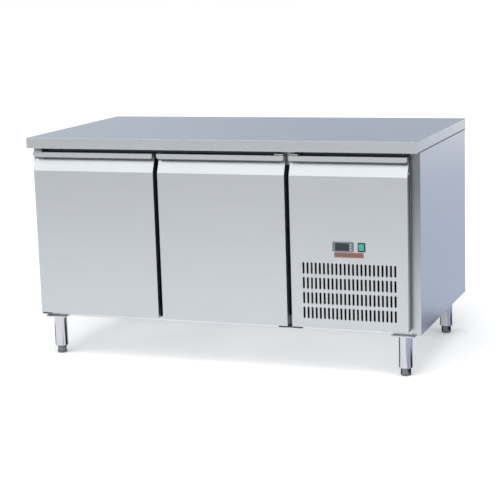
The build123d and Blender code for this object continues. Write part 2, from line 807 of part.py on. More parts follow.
with BuildPart() as evaporator_cover:
    slab(cover_x, cover_y, cover_z)
    slab(grown(cover_x, -sheet), grown(cover_y, -sheet), (cover_z[0] + sheet, cover_z[1]),
         mode=Mode.SUBTRACT)
    with BuildSketch(Plane.YZ.offset(cover_x[0])):
        with Locations((evaporator_fan_plane.origin.Y, evaporator_fan_plane.origin.Z)):
            Circle(evaporator_fan_radius + 6.0)
    extrude(amount=sheet, mode=Mode.SUBTRACT)
    with BuildSketch(Plane.YZ.offset(cover_x[1] - sheet)):
        with Locations((middle(cover_y), middle(cover_z))):
            with GridLocations(0, air_slot_pitch, 1, air_slot_rows):
                SlotOverall(*air_slot)
    extrude(amount=sheet, mode=Mode.SUBTRACT)
save(evaporator_cover.part, "evaporator_cover")

evaporator_x = (cover_x[1] - coil_from_cover - coil_deep, cover_x[1] - coil_from_cover)

with BuildPart() as evaporator_coil:
    slab(evaporator_x, grown(cover_y, -22.0), (cover_z[0] + 40.0, cover_z[1]))
save(evaporator_coil.part, "evaporator_coil")

save(fan_blades(evaporator_fan_plane, evaporator_fan_radius, 18.0, 10.0, radians(10)), "evaporator_fan")
evaporator_motor = fan_motor(evaporator_fan_plane, 30.0, (6.0, 24.0), 12.0, 104.0, sheet - 7.0)
save(evaporator_motor, "evaporator_fan_motor")

# ---- Condensing unit in the compressor bay -------------------------------------------------------
tray_x = (divider_x + 28.0, panel_x[1] - 22.0)
tray_y = (frame_y + 25.0, 200.0)
tray_thick = 2.0
tray_lip = 18.0
tray_top = body_bottom + tray_thick

with BuildPart() as unit_tray:
    slab(tray_x, tray_y, (body_bottom, body_bottom + tray_lip))
    slab(grown(tray_x, -tray_thick), grown(tray_y, -tray_thick), (tray_top, body_bottom + tray_lip),
         mode=Mode.SUBTRACT)
save(unit_tray.part, "unit_tray")

condenser_x = (tray_x[0] + 16.0, tray_x[1] - 24.0)
condenser_y = (tray_y[0] + 22.0, tray_y[0] + 82.0)
condenser_z = (tray_top, tray_top + 290.0)
coil_bend_radius = 12.5
coil_tube_radius = 4.5
coil_row_pitch = 50.0
coil_rows = 5

with BuildPart() as condenser_coil:
    slab(condenser_x, condenser_y, condenser_z)
    for coil_row in range(coil_rows):
        bend_z = condenser_z[0] + coil_row_pitch * (coil_row + 0.5)
        with Locations(Location((condenser_x[1], middle(condenser_y), bend_z), (90, 0, 0))):
            Torus(coil_bend_radius, coil_tube_radius)
save(condenser_coil.part, "condenser_coil")

condenser_fan_radius = 120.0
shroud_y = (condenser_y[1], condenser_y[1] + 34.0)
shroud_sheet = 1.2
condenser_fan_plane = Plane(
    origin=(middle(condenser_x), shroud_y[1] + 4.0, middle(condenser_z)), z_dir=BACKWARD)

with BuildPart() as fan_shroud:
    slab(condenser_x, shroud_y, condenser_z)
    slab(grown(condenser_x, -shroud_sheet), (shroud_y[0], shroud_y[1] - shroud_sheet),
         grown(condenser_z, -shroud_sheet), mode=Mode.SUBTRACT)
    with Locations(condenser_fan_plane):
        with Locations((0, 0, -4.0 - shroud_sheet)):
            Cylinder(condenser_fan_radius + 8.0, 14.0, align=UP)
        Cylinder(condenser_fan_radius + 6.0, 40.0, mode=Mode.SUBTRACT)
save(fan_shroud.part, "fan_shroud")

save(fan_blades(condenser_fan_plane, condenser_fan_radius, 28.0, 22.0, radians(24)), "condenser_fan")
condenser_motor = fan_motor(condenser_fan_plane, 42.0, (16.0, 78.0), 22.0, 148.0, -4.0)
save(condenser_motor, "condenser_fan_motor")

compressor_x, compressor_y = tray_x[0] + 128.0, 60.0
compressor_base = (200.0, 130.0)
compressor_base_z = tray_top + 18.0
shell_radius = 82.0
shell_seam = compressor_base_z + 90.0
shell_top = compressor_base_z + 186.0

with BuildPart() as compressor:
    with BuildSketch(Plane.XY.offset(compressor_base_z)):
        with Locations((compressor_x, compressor_y)):
            RectangleRounded(*compressor_base, 20.0)
    extrude(amount=3.0)
    with Locations((compressor_x, compressor_y, compressor_base_z + 1.0)):
        Cylinder(shell_radius, shell_top - compressor_base_z - 1.0, align=UP)
    fillet(compressor.edges().group_by(Axis.Z)[-1], 55.0)
    with Locations((compressor_x, compressor_y, shell_seam)):
        Cylinder(shell_radius + 5.0, 8.0)
    slab(about(compressor_x + shell_radius, 20.0), about(compressor_y, 34.0),
         about(shell_seam - 10.0, 32.0))
save(compressor.part, "compressor")

with BuildPart() as compressor_mounts:
    with Locations((compressor_x, compressor_y, tray_top)):
        with GridLocations(compressor_base[0] - 26.0, compressor_base[1] - 26.0, 2, 2):
            Cylinder(11.0, compressor_base_z - tray_top, align=UP)
save(compressor_mounts.part, "compressor_mounts")

box_x = (tray_x[1] - 100.0, tray_x[1] - 12.0)
box_y = (-60.0, 110.0)
box_z = (tray_top, tray_top + 150.0)

with BuildPart() as electrical_box:
    slab(box_x, box_y, box_z)
    fillet(electrical_box.edges().filter_by(Axis.Z), 6.0)
    fillet(electrical_box.edges().group_by(Axis.Z)[-1], 3.0)
save(electrical_box.part, "electrical_box")

drip_y = (tray_y[1] + 15.0, rear - 60.0)

with BuildPart() as evaporation_tray:
    slab(condenser_x, drip_y, (body_bottom, body_bottom + 60.0))
    fillet(evaporation_tray.edges().filter_by(Axis.Z), 12.0)
    offset(amount=-2.0, openings=evaporation_tray.faces().sort_by(Axis.Z)[-1])
save(evaporation_tray.part, "evaporation_tray")

# Copper pipework: discharge, suction, liquid line through the drier, and capillary
pipe_radius = 4.0
pipe_bend = 18.0
drier_x, drier_z = tray_x[0] + 40.0, tray_top + 200.0
drier_y = (-90.0, 20.0)
drier_radius = 12.0
drier_neck = pipe_radius + 1.0

with BuildPart() as filter_drier:
    with BuildSketch(Plane.YZ.offset(drier_x)):
        with BuildLine():
            Polyline(
                (drier_y[0], drier_z),
                (drier_y[0], drier_z + drier_neck),
                (drier_y[0] + 10.0, drier_z + drier_neck),
                (drier_y[0] + 22.0, drier_z + drier_radius),
                (drier_y[1] - 22.0, drier_z + drier_radius),
                (drier_y[1] - 10.0, drier_z + drier_neck),
                (drier_y[1], drier_z + drier_neck),
                (drier_y[1], drier_z),
                close=True,
            )
        make_face()
    revolve(axis=Axis((drier_x, drier_y[0], drier_z), (0, 1, 0)))
save(filter_drier.part, "filter_drier")

discharge_z = compressor_base_z + 40.0
discharge_y = compressor_y - shell_radius - fit_gap
suction_z = compressor_base_z + 62.0
suction_y = compressor_y + shell_radius + fit_gap
over_coil_z = condenser_z[1] + 40.0
coil_y = middle(condenser_y)
riser_x = compressor_x - 68.0
pipe_routes = [
    [(compressor_x, discharge_y, discharge_z), (compressor_x, discharge_y - 40.0, discharge_z),
     (riser_x, discharge_y - 40.0, discharge_z), (riser_x, discharge_y - 40.0, over_coil_z),
     (riser_x, coil_y, over_coil_z), (riser_x, coil_y, condenser_z[1])],
    [(compressor_x, suction_y, suction_z), (compressor_x, suction_y + 42.0, suction_z),
     (compressor_x, suction_y + 42.0, over_coil_z), (divider_x + sheet, suction_y + 42.0, over_coil_z)],
    [(drier_x, drier_y[0], drier_z), (drier_x, drier_y[0] - 42.0, drier_z),
     (drier_x, drier_y[0] - 42.0, over_coil_z), (drier_x, coil_y, over_coil_z),
     (drier_x, coil_y, condenser_z[1])],
    [(drier_x, drier_y[1], drier_z), (drier_x, drier_y[1] + 42.0, drier_z),
     (drier_x, drier_y[1] + 42.0, over_coil_z), (divider_x + sheet, drier_y[1] + 42.0, over_coil_z)],
]

with BuildPart() as refrigerant_pipes:
    for route in pipe_routes:
        with BuildLine() as path:
            FilletPolyline(*route, radius=pipe_bend)
        with BuildSketch(Plane(origin=path.line @ 0, z_dir=path.line % 0)):
            Circle(pipe_radius)
        sweep(path=path.line)
save(refrigerant_pipes.part, "refrigerant_pipes")
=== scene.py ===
import json
import math

import bmesh
import bpy
from mathutils import Matrix, Vector


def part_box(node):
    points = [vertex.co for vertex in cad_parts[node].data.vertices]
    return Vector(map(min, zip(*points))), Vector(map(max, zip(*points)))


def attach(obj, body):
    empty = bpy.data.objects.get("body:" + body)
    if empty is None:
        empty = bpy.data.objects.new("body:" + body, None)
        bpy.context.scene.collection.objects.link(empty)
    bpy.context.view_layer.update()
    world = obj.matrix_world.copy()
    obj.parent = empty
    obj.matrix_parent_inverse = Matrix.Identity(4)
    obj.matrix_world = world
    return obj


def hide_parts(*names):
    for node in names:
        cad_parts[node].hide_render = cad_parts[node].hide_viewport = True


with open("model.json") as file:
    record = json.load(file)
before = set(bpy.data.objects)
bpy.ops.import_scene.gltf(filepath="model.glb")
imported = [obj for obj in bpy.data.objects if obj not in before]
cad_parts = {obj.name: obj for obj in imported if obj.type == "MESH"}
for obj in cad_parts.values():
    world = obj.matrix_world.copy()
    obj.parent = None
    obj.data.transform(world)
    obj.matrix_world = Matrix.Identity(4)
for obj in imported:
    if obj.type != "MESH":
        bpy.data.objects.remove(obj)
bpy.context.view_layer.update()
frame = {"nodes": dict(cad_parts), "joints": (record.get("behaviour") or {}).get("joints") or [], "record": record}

# Undercounter refrigerator: materials, fine detail, floor, light and camera.
# Metres, in the row frame: +X right, +Y back, +Z up, floor at 0.

NODES = frame["nodes"]
WHITE = (1.0, 1.0, 1.0, 1.0)

# Corners of the pieces that the finishes and the fine detail are placed from.
_, worktop_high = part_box("worktop")
_, side_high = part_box("side_panel_right")
frame_low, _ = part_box("front_frame")
left_door_low, left_door_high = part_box("door_left_skin")
right_door_low, right_door_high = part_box("door_right_skin")
panel_low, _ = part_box("service_panel")


# ---- Shader helpers --------------------------------------------------------------------------
def node(tree, kind, sockets=None, **settings):
    """Adds a shader node. Sockets are constants or the sockets they are linked from."""
    made = tree.nodes.new("ShaderNode" + kind)
    for key, value in settings.items():
        setattr(made, key, value)
    for key, value in (sockets or {}).items():
        if isinstance(value, bpy.types.NodeSocket):
            tree.links.new(value, made.inputs[key])
        else:
            made.inputs[key].default_value = value
    return made


def new_tree(name):
    """An empty material and its node tree."""
    material = bpy.data.materials.new(name)
    material.use_nodes = True
    material.node_tree.nodes.clear()
    return material, material.node_tree


def shade(colour, by=1.0):
    """The colour made lighter or darker, as RGBA."""
    return (*[min(1.0, c * by) for c in colour], 1.0)


def mixed(tree, factor, low, high):
    """Colour between low and high."""
    made = node(tree, "Mix", {0: factor, 6: low, 7: high}, data_type="RGBA")
    return made.outputs[2]


def ranged(tree, value, low, high, from_low=0.0, from_high=1.0):
    """A value carried from one range to another, and kept inside it."""
    made = node(tree, "MapRange", {0: value, 1: from_low, 2: from_high, 3: low, 4: high})
    return made.outputs[0]


def combined(tree, operation, first, second):
    """Two values joined by a math operation."""
    return node(tree, "Math", {0: first, 1: second}, operation=operation).outputs[0]


def object_place(tree):
    """The point being shaded, in the object's own metres."""
    return node(tree, "TexCoord").outputs["Object"]


def axes(tree, place):
    """The X, Y and Z of a point."""
    return node(tree, "SeparateXYZ", {0: place}).outputs


def noise(tree, place, scale, detail):
    """Cloudy noise from 0 to 1."""
    return node(tree, "TexNoise", {"Vector": place, "Scale": scale, "Detail": detail}).outputs[0]


def streaks(tree, place, grain, across, along, detail):
    """Noise drawn out along an axis: its frequency across the grain, and along it."""
    frequency = [across, across, across]
    frequency["XYZ".index(grain)] = along
    stretched = node(tree, "Mapping", {"Vector": place, "Scale": frequency}).outputs[0]
    return noise(tree, stretched, 1.0, detail)


def rounded_normal(tree, radius, samples=3):
    """The normal, bent round the edges by a radius."""
    return node(tree, "Bevel", {"Radius": radius}, samples=samples).outputs[0]


def edge_mask(tree, rounded, strength):
    """The strength along the edges that the rounded normal bends round, 0 on flat faces."""
    flat = node(tree, "NewGeometry").outputs["Normal"]
    dot = node(tree, "VectorMath", {0: rounded, 1: flat}, operation="DOT_PRODUCT").outputs["Value"]
    return ranged(tree, dot, strength, 0.0, 0.86, 0.999)


def relief(tree, height, strength, distance, normal):
    """The normal, bent by a height."""
    bump = node(tree, "Bump", {"Strength": strength, "Distance": distance, "Height": height,
                               "Normal": normal})
    return bump.outputs[0]


def past(tree, value, start, sign):
    """1 beyond a place on the side of the sign, 0 before it, changing over a millimetre."""
    return ranged(tree, value, 0.0, 1.0, start, start + sign * 0.001)


def near(tree, value, centre, half):
    """1 within half of the centre, 0 outside it, changing over a millimetre."""
    away = combined(tree, "SUBTRACT", value, centre)
    size = node(tree, "Math", {0: away}, operation="ABSOLUTE").outputs[0]
    return ranged(tree, size, 1.0, 0.0, half - 0.0005, half + 0.0005)


def finish_shader(tree, sockets):
    """Ends a tree with the principled shader."""
    principled = node(tree, "BsdfPrincipled", sockets)
    output = node(tree, "OutputMaterial")
    tree.links.new(principled.outputs[0], output.inputs[0])


# ---- Makers of finishes ----------------------------------------------------------------------
def brushed(name, colour, roughness, grain, rounding=0.0009, painted_shade=None):
    """Brushed metal. grain is the axis that the brushing runs along. The last argument is a darker
    colour of painted shade, and a function that makes the mask of where that painted shade shows."""
    material, tree = new_tree(name)
    place = object_place(tree)
    fine = streaks(tree, place, grain, 900.0, 6.0, 2.0)
    coarse = streaks(tree, place, grain, 150.0, 1.5, 3.0)
    cloud = noise(tree, place, 2.2, 3.0)
    smudge = noise(tree, place, 9.0, 4.0)
    tone = mixed(tree, cloud, shade(colour, 0.985), shade(colour, 1.015))
    tone = mixed(tree, ranged(tree, coarse, 0.0, 0.45, 0.40, 0.72), tone, shade(colour, 0.955))
    # Painted shade: a darker colour mixed in where the mask says, in gaps, on returns and under the doors.
    if painted_shade:
        painted_shade_colour, painted_shade_mask = painted_shade
        painted_shade_tone = mixed(tree, coarse, shade(painted_shade_colour, 0.9), shade(painted_shade_colour, 1.1))
        tone = mixed(tree, painted_shade_mask(tree, place), tone, painted_shade_tone)
    rounded = rounded_normal(tree, rounding)
    # Painted highlight: the edges lightened in colour, as well as bent by the rounded normal.
    tone = mixed(tree, edge_mask(tree, rounded, 0.45), tone, shade(colour, 1.18))
    rough = ranged(tree, fine, roughness - 0.03, roughness + 0.04)
    rough = combined(tree, "ADD", rough, ranged(tree, smudge, -0.012, 0.022, 0.4, 0.75))
    along = [0.0, 0.0, 0.0]
    along["XYZ".index(grain)] = 1.0
    tangent = node(tree, "VectorTransform", {0: along}, vector_type="VECTOR",
                   convert_from="OBJECT", convert_to="WORLD").outputs[0]
    finish_shader(tree, {
        "Base Color": tone, "Metallic": 1.0, "Roughness": rough,
        "Normal": relief(tree, fine, 0.3, 0.00003, rounded),
        "Anisotropic": 0.45, "Anisotropic Rotation": 0.25, "Tangent": tangent,
    })
    return material


def smooth_metal(name, colour, roughness, rounding=0.0005, spots=25.0):
    """Plated, cast or painted-over metal with slight unevenness and lighter edges."""
    material, tree = new_tree(name)
    place = object_place(tree)
    patch = noise(tree, place, spots, 4.0)
    grit = noise(tree, place, 900.0, 2.0)
    tone = mixed(tree, patch, shade(colour, 0.9), shade(colour, 1.08))
    rounded = rounded_normal(tree, rounding)
    tone = mixed(tree, edge_mask(tree, rounded, 0.5), tone, shade(colour, 1.25))
    finish_shader(tree, {
        "Base Color": tone, "Metallic": 1.0,
        "Roughness": ranged(tree, patch, roughness - 0.04, roughness + 0.06),
        "Normal": relief(tree, grit, 0.15, 0.0001, rounded),
    })
    return material


def spangled(name, colour, roughness):
    """Galvanised sheet with its crystal pattern."""
    material, tree = new_tree(name)
    place = object_place(tree)
    crystal = node(tree, "TexVoronoi", {"Vector": place, "Scale": 70.0}).outputs["Color"]
    level = node(tree, "RGBToBW", {0: crystal}).outputs[0]
    patch = noise(tree, place, 6.0, 4.0)
    tone = mixed(tree, level, shade(colour, 0.9), shade(colour, 1.08))
    tone = mixed(tree, ranged(tree, patch, 0.0, 0.35, 0.4, 0.8), tone, shade(colour, 0.82))
    rounded = rounded_normal(tree, 0.0006, samples=2)
    finish_shader(tree, {
        "Base Color": tone, "Metallic": 1.0,
        "Roughness": ranged(tree, level, roughness - 0.08, roughness + 0.08),
        "Normal": relief(tree, level, 0.12, 0.0001, rounded),
    })
    return material


def moulded(name, colour, roughness, grain=1600.0, depth=0.00004, rounding=0.0004, coat=0.0, glow=0.0):
    """Plastic, rubber, paint or foam: fine texture, uneven sheen, paler edges."""
    material, tree = new_tree(name)
    place = object_place(tree)
    patch = noise(tree, place, 18.0, 4.0)
    grit = noise(tree, place, grain, 3.0)
    tone = mixed(tree, patch, shade(colour, 0.88), shade(colour, 1.1))
    rounded = rounded_normal(tree, rounding)
    paler = shade([c * 1.3 + 0.03 for c in colour])
    tone = mixed(tree, edge_mask(tree, rounded, 0.5), tone, paler)
    finish_shader(tree, {
        "Base Color": tone,
        "Roughness": ranged(tree, patch, roughness - 0.06, roughness + 0.07),
        "Normal": relief(tree, grit, 0.3, depth, rounded),
        "Coat Weight": coat, "Coat Roughness": 0.08,
        "Emission Color": shade(colour), "Emission Strength": glow,
    })
    return material


def wooden(name, colour):
    """Stiffening board of fine-grained wood, with its grain along X."""
    material, tree = new_tree(name)
    grain = streaks(tree, object_place(tree), "X", 90.0, 4.5, 6.0)
    bump = node(tree, "Bump", {"Strength": 0.3, "Distance": 0.0004, "Height": grain})
    finish_shader(tree, {
        "Base Color": mixed(tree, grain, shade(colour, 0.7), shade(colour, 1.15)),
        "Roughness": ranged(tree, grain, 0.55, 0.75),
        "Normal": bump.outputs[0],
    })
    return material


# ---- Masks of the painted shade --------------------------------------------------------------
DOOR_RETURN = 0.0188        # how far behind a door's front the painted shade on its folded edge begins
STILE_DEPTH = 0.0015        # how far behind the face frame's front the painted shade on a side panel's stile ends
STRIP_HALF = 0.030          # half the width of the face frame's strip of painted shadow behind a gap
STRIP_SHIFT = 0.006         # how far left of its gap a strip lies
TOP_STRIP = 0.014           # how far below the doors' tops the strip of painted shadow above them begins


def stile_shade_mask(tree, place):
    """Painted shade on the stile at a side panel's front, stronger towards its top."""
    _, y, z = axes(tree, place)
    front = past(tree, y, frame_low.y + STILE_DEPTH, -1)
    return combined(tree, "MULTIPLY", front, ranged(tree, z, 0.12, 1.0, 0.20, 0.70))


def return_shade_mask(tree, place):
    """Painted shade on the folded edges of the doors and the panel, behind their fronts."""
    return past(tree, axes(tree, place)[1], left_door_low.y + DOOR_RETURN, 1)


def bracket_shade_mask(tree, place):
    """Painted shadow on the parts of the hinge brackets below the doors."""
    return past(tree, axes(tree, place)[2], left_door_low.z, -1)


def gap_shadow_mask(tree, place):
    """Painted shadow on strips of the face frame above the doors and behind the gaps between them."""
    x, _, z = axes(tree, place)
    dark = past(tree, z, left_door_high.z - TOP_STRIP, 1)
    for edge, next_edge in ((left_door_high.x, right_door_low.x), (right_door_high.x, panel_low.x)):
        middle = (edge + next_edge) / 2 - STRIP_SHIFT
        dark = combined(tree, "MAXIMUM", dark, near(tree, x, middle, STRIP_HALF))
    return combined(tree, "MULTIPLY", past(tree, z, left_door_low.z, 1), dark)


# ---- Finishes --------------------------------------------------------------------------------
STEEL = (0.490, 0.515, 0.538)
MATERIALS = {
    "worktop_steel": brushed("worktop_steel", STEEL, 0.27, "X", rounding=0.0028),
    # The second, darker colours of side, door, bracket and frame steel are painted shade.
    "side_steel": brushed("side_steel", STEEL, 0.30, "Y", painted_shade=((0.20, 0.215, 0.225), stile_shade_mask)),
    "door_steel": brushed("door_steel", STEEL, 0.30, "X", rounding=0.0016,
                          painted_shade=((0.13, 0.145, 0.16), return_shade_mask)),
    "bracket_zinc": brushed("bracket_zinc", (0.45, 0.46, 0.48), 0.36, "Z",
                            painted_shade=((0.05, 0.055, 0.065), bracket_shade_mask)),
    "frame_steel": brushed("frame_steel", (0.60, 0.64, 0.67), 0.33, "Z",
                           painted_shade=((0.055, 0.068, 0.08), gap_shadow_mask)),
    "liner": brushed("liner", (0.60, 0.62, 0.63), 0.32, "X", rounding=0.0015),
    "coil_fins": brushed("coil_fins", (0.68, 0.70, 0.72), 0.36, "Z", rounding=0.0002),
    "galvanised": spangled("galvanised", (0.50, 0.53, 0.55), 0.42),
    "board": wooden("board", (0.55, 0.42, 0.28)),
    "leg_steel": smooth_metal("leg_steel", (0.53, 0.54, 0.57), 0.19, rounding=0.0008, spots=12.0),
    "foot_steel": smooth_metal("foot_steel", (0.17, 0.18, 0.205), 0.22, rounding=0.0012, spots=30.0),
    "zinc": smooth_metal("zinc", (0.55, 0.56, 0.58), 0.28),
    "fan_blades": smooth_metal("fan_blades", (0.60, 0.61, 0.63), 0.30),
    "copper": smooth_metal("copper", (0.72, 0.33, 0.18), 0.24, spots=40.0),
    "label": smooth_metal("label", (0.235, 0.135, 0.11), 0.40, spots=60.0),
    "label_line": smooth_metal("label_line", (0.50, 0.36, 0.31), 0.35),
    "foam": moulded("foam", (0.84, 0.76, 0.50), 0.85, grain=500.0, depth=0.0006, rounding=0.002),
    "gasket": moulded("gasket", (0.13, 0.14, 0.15), 0.62, rounding=0.0008),
    "controller_plastic": moulded("controller_plastic", (0.105, 0.13, 0.155), 0.45),
    "lens": moulded("lens", (0.006, 0.010, 0.015), 0.14),
    "key_plastic": moulded("key_plastic", (0.17, 0.20, 0.235), 0.40),
    "mark_white": moulded("mark_white", (0.78, 0.80, 0.81), 0.5),
    "segment": moulded("segment", (0.022, 0.034, 0.046), 0.4),
    "black_plastic": moulded("black_plastic", (0.022, 0.024, 0.026), 0.34),
    "green_rocker": moulded("green_rocker", (0.010, 0.30, 0.235), 0.24, coat=0.4, glow=0.06),
    "shelf_coating": moulded("shelf_coating", (0.80, 0.81, 0.82), 0.36, coat=0.3),
    "motor_paint": moulded("motor_paint", (0.035, 0.035, 0.038), 0.40, coat=0.3),
    "compressor_paint": moulded("compressor_paint", (0.018, 0.018, 0.020), 0.22, coat=0.8),
    "condenser_black": moulded("condenser_black", (0.026, 0.027, 0.030), 0.55),
    "mount_rubber": moulded("mount_rubber", (0.020, 0.020, 0.020), 0.75),
    "box_plastic": moulded("box_plastic", (0.62, 0.63, 0.62), 0.50),
    "tray_plastic": moulded("tray_plastic", (0.050, 0.052, 0.056), 0.40),
    # Painted shadow: a dark bead standing in for the shadow line under the worktop's side edges.
    "shadow_bead": moulded("shadow_bead", (0.045, 0.05, 0.06), 0.6),
    # Painted shade: dark crosses standing in for the shade inside the screw heads' cross recesses.
    "recess": moulded("recess", (0.05, 0.05, 0.055), 0.6),
}
# Nodes whose finish differs from the one that the record's slot names.
BY_NODE = {
    "worktop": "worktop_steel", "side_panel_left": "side_steel", "side_panel_right": "side_steel",
    "front_frame": "frame_steel", "service_panel": "door_steel",
    "hinge_brackets_left": "bracket_zinc", "hinge_brackets_middle": "bracket_zinc",
    "door_left_skin": "door_steel", "door_right_skin": "door_steel",
}
record_slots = {row["node"]: row["material_slot"] for row in frame["record"]["subparts"]}
for name, obj in NODES.items():
    obj.data.materials.clear()
    obj.data.materials.append(MATERIALS[BY_NODE.get(name, record_slots[name])])


# ---- Mesh helpers ----------------------------------------------------------------------------
def piece(name, body, material, build):
    """A mesh made by build(bm), riding on a CAD body."""
    bm = bmesh.new()
    build(bm)
    mesh = bpy.data.meshes.new(name)
    bm.to_mesh(mesh)
    bm.free()
    obj = bpy.data.objects.new(name, mesh)
    bpy.context.collection.objects.link(obj)
    mesh.materials.append(MATERIALS[material])
    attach(obj, body)
    return obj


def block(bm, low, high):
    """A box between two corners."""
    low, high = Vector(low), Vector(high)
    matrix = Matrix.Translation((low + high) / 2) @ Matrix.Diagonal((*(high - low), 1.0))
    bmesh.ops.create_cube(bm, size=1.0, matrix=matrix)


def prism(bm, near_end, far_end):
    """A solid between two outlines with the same number of points."""
    near_verts = [bm.verts.new(point) for point in near_end]
    far_verts = [bm.verts.new(point) for point in far_end]
    bm.faces.new(near_verts)
    bm.faces.new(list(reversed(far_verts)))
    count = len(near_verts)
    for k in range(count):
        after = (k + 1) % count
        bm.faces.new((near_verts[k], near_verts[after], far_verts[after], far_verts[k]))


def tube(bm, points, radius, sides=8, closed=False):
    """A round wire through the points."""
    rings = []
    count = len(points)
    for index, point in enumerate(points):
        before = points[index - 1] if index or closed else point
        after = points[(index + 1) % count] if index < count - 1 or closed else point
        axis = (Vector(after) - Vector(before)).normalized()
        side = axis.orthogonal() if index == 0 else side - axis * side.dot(axis)
        side.normalize()
        other = axis.cross(side)
        rings.append([
            bm.verts.new(Vector(point) + radius * (math.cos(a) * side + math.sin(a) * other))
            for a in [2 * math.pi * k / sides for k in range(sides)]
        ])
    pairs = list(zip(rings, rings[1:]))
    if closed:
        pairs.append((rings[-1], rings[0]))
    for first, second in pairs:
        for k in range(sides):
            after = (k + 1) % sides
            face = bm.faces.new((first[k], first[after], second[after], second[k]))
            face.smooth = True
    if not closed:
        bm.faces.new(list(reversed(rings[0])))
        bm.faces.new(rings[-1])


# ---- Finned coils in place of the solid blocks -----------------------------------------------
FIN_THICKNESS = 0.00022
END_PLATE = 0.0012
FIN_INSET = 0.0015                  # how far the fins stand back inside the end plates' outline
TUBE_SHARES = (0.28, 0.72)          # where the two tubes of a row lie in the coil's depth


def fin_pack(low, high, across, deep, pitch, tube_radius, rows):
    """Builds thin fins stacked along one axis, end plates, and rows of tubes through them, two in
    each row along the deep axis."""
    stack, depth = "XYZ".index(across), "XYZ".index(deep)

    def build(bm):
        count = int((high[stack] - low[stack]) / pitch)
        for k in range(count + 1):
            at_end = k in (0, count)
            middle = low[stack] + (high[stack] - low[stack]) * k / count
            half = (END_PLATE if at_end else FIN_THICKNESS) / 2
            inset = 0.0 if at_end else FIN_INSET
            fin_low = [value + inset for value in low]
            fin_high = [value - inset for value in high]
            fin_low[stack] = max(low[stack], middle - half)
            fin_high[stack] = min(high[stack], middle + half)
            block(bm, fin_low, fin_high)
        for row in range(rows):
            for share in TUBE_SHARES:
                start = [0.0, 0.0, low[2] + (high[2] - low[2]) * (row + 0.5) / rows]
                start[stack] = low[stack]
                start[depth] = low[depth] + (high[depth] - low[depth]) * share
                end = list(start)
                end[stack] = high[stack]
                tube(bm, [start, end], tube_radius)
    return build


CONDENSER_ROWS = 10
BEND_ROOM = 0.017                   # room for the return bends past the condenser's frame
BEND_RADIUS = 0.0042
BEND_FLATTENING = 0.8
BEND_STEPS = 12
FRAME_CLEARANCE = 0.001
FRAME_SHEET = 0.0009
FRAME_LIP = 0.0065
condenser_low, condenser_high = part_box("condenser_coil")
condenser_end = condenser_high.x - BEND_ROOM


def condenser_frame(bm):
    """Folded frame round the condenser's fins, with lips on both faces."""
    (x0, y0, z0), (x1, y1, z1) = condenser_low, (condenser_end, condenser_high.y, condenser_high.z)
    inner_x0, inner_x1 = x0 + FRAME_SHEET, x1 - FRAME_SHEET
    inner_z0, inner_z1 = z0 + FRAME_SHEET, z1 - FRAME_SHEET
    block(bm, (x0, y0, z0), (x1, y1, inner_z0))
    block(bm, (x0, y0, inner_z1), (x1, y1, z1))
    block(bm, (x0, y0, inner_z0), (inner_x0, y1, inner_z1))
    block(bm, (inner_x1, y0, inner_z0), (x1, y1, inner_z1))
    for y in (y0, y1 - FRAME_SHEET):
        behind = y + FRAME_SHEET
        block(bm, (inner_x0, y, inner_z0), (inner_x1, behind, z0 + FRAME_LIP))
        block(bm, (inner_x0, y, z1 - FRAME_LIP), (inner_x1, behind, inner_z1))
        block(bm, (inner_x0, y, z0 + FRAME_LIP), (x0 + FRAME_LIP, behind, z1 - FRAME_LIP))
        block(bm, (x1 - FRAME_LIP, y, z0 + FRAME_LIP), (inner_x1, behind, z1 - FRAME_LIP))


def condenser_bends(bm):
    """The half-round tubes that join the two tubes of each row at the condenser's right end."""
    step = (condenser_high.z - condenser_low.z) / CONDENSER_ROWS
    reach = condenser_high.y - condenser_low.y
    front, back = (condenser_low.y + share * reach for share in TUBE_SHARES)
    radius = (back - front) / 2
    for row in range(CONDENSER_ROWS):
        z = condenser_low.z + step * (row + 0.5)
        arc = []
        for k in range(BEND_STEPS + 1):
            angle = math.pi * k / BEND_STEPS
            out = radius * math.sin(angle) * BEND_FLATTENING
            arc.append(Vector((condenser_end + out, (front + back) / 2 - radius * math.cos(angle), z)))
        tube(bm, arc, BEND_RADIUS)


clearance = Vector((FRAME_CLEARANCE, FRAME_CLEARANCE, FRAME_CLEARANCE))
fins_high = Vector((condenser_end, condenser_high.y, condenser_high.z)) - clearance
fins = piece("condenser_fins", "cabinet", "condenser_black",
             fin_pack(condenser_low + clearance, fins_high, "X", "Y", 0.0032, 0.0045, CONDENSER_ROWS))
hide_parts("condenser_coil")
piece("condenser_frame", "cabinet", "galvanised", condenser_frame)
piece("condenser_bends", "cabinet", "copper", condenser_bends)
evaporator_low, evaporator_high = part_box("evaporator_coil")
cold_fins = piece("evaporator_fins", "cabinet", "coil_fins",
                  fin_pack(evaporator_low, evaporator_high, "Y", "X", 0.005, 0.005, 8))
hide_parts("evaporator_coil")


# ---- Fan guard -------------------------------------------------------------------------------
GUARD_RADIUS = 0.089
GUARD_RINGS = 7
RING_STEPS = 48
RING_WIRE = 0.0012
SPOKE_WIRE = 0.0016
GUARD_SETBACK = 0.0004              # from the cover's face to the middle of the wires

joints = {joint["name"]: joint for joint in frame["joints"]}
fan_centre = Vector(joints["evaporator_fan_spin"]["pos_m"])
cover_low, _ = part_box("evaporator_cover")


def guard(bm):
    """Wire rings and four spokes in the evaporator cover's round opening."""
    middle = Vector((cover_low.x + GUARD_SETBACK, fan_centre.y, fan_centre.z))

    def around(radius, angle):
        return middle + Vector((0, radius * math.cos(angle), radius * math.sin(angle)))

    for ring in range(GUARD_RINGS):
        radius = GUARD_RADIUS * (ring + 1) / GUARD_RINGS
        points = [around(radius, 2 * math.pi * k / RING_STEPS) for k in range(RING_STEPS)]
        tube(bm, points, RING_WIRE, closed=True)
    for k in range(4):
        tube(bm, [middle, around(GUARD_RADIUS, math.pi * (k + 0.5) / 2)], SPOKE_WIRE)


